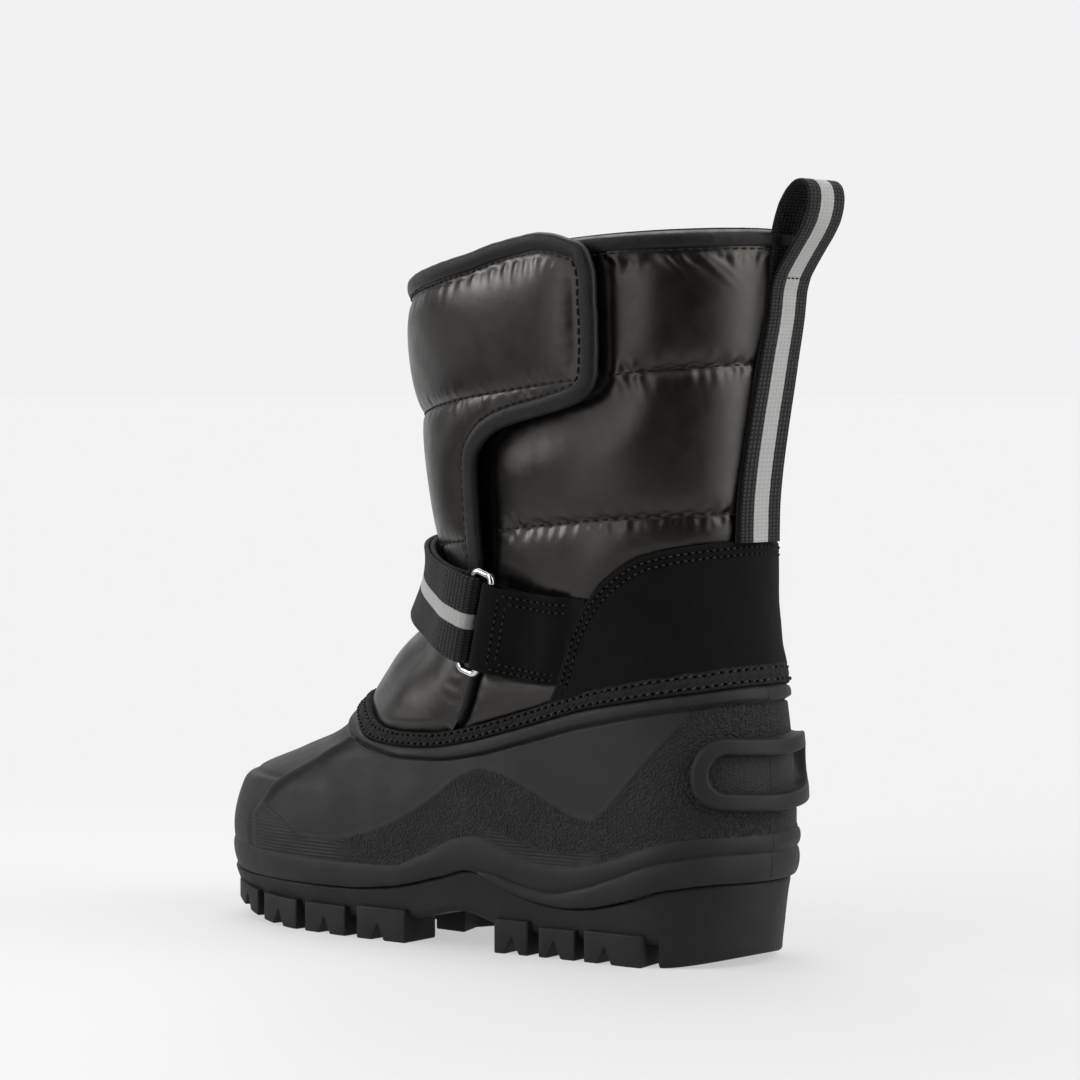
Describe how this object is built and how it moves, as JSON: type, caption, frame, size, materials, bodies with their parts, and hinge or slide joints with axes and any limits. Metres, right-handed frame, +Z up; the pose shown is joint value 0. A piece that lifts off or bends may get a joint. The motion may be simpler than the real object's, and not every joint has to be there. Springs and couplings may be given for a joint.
{
  "type": "winter boot",
  "caption": "Child's left winter boot: hollow quilted shaft in a moulded rubber shell on a lugged outsole, with front flap, instep strap through a metal ring, heel counter and pull loop.",
  "frame": {"origin": "on the floor, in the middle of the boot's box", "axes": "+Y to the toe, +X to the inner (medial) side, -X to the outer (lateral) side, +Z up"},
  "size_m": [0.0858, 0.2093, 0.2097],
  "materials": {
    "tread_rubber": "matt moulded rubber",
    "shell_rubber": "matt moulded rubber, pebbled panels",
    "footbed_felt": "brushed felt",
    "quilted_nylon": "semi-gloss coated nylon",
    "binding_tape": "ribbed tape",
    "nubuck": "matt nubuck",
    "ring_chrome": "polished",
    "webbing": "woven webbing with a light reflective stripe"
  },
  "bodies": {
    "root": {"outsole": "tread_rubber", "rubber_shell": "shell_rubber", "insole": "footbed_felt", "upper": "quilted_nylon", "front_flap": "quilted_nylon", "topline_binding": "binding_tape", "heel_counter": "nubuck", "ring_tab": "nubuck", "strap_ring": "ring_chrome", "instep_strap": "webbing", "pull_loop": "webbing"}
  },
  "joints": []
}
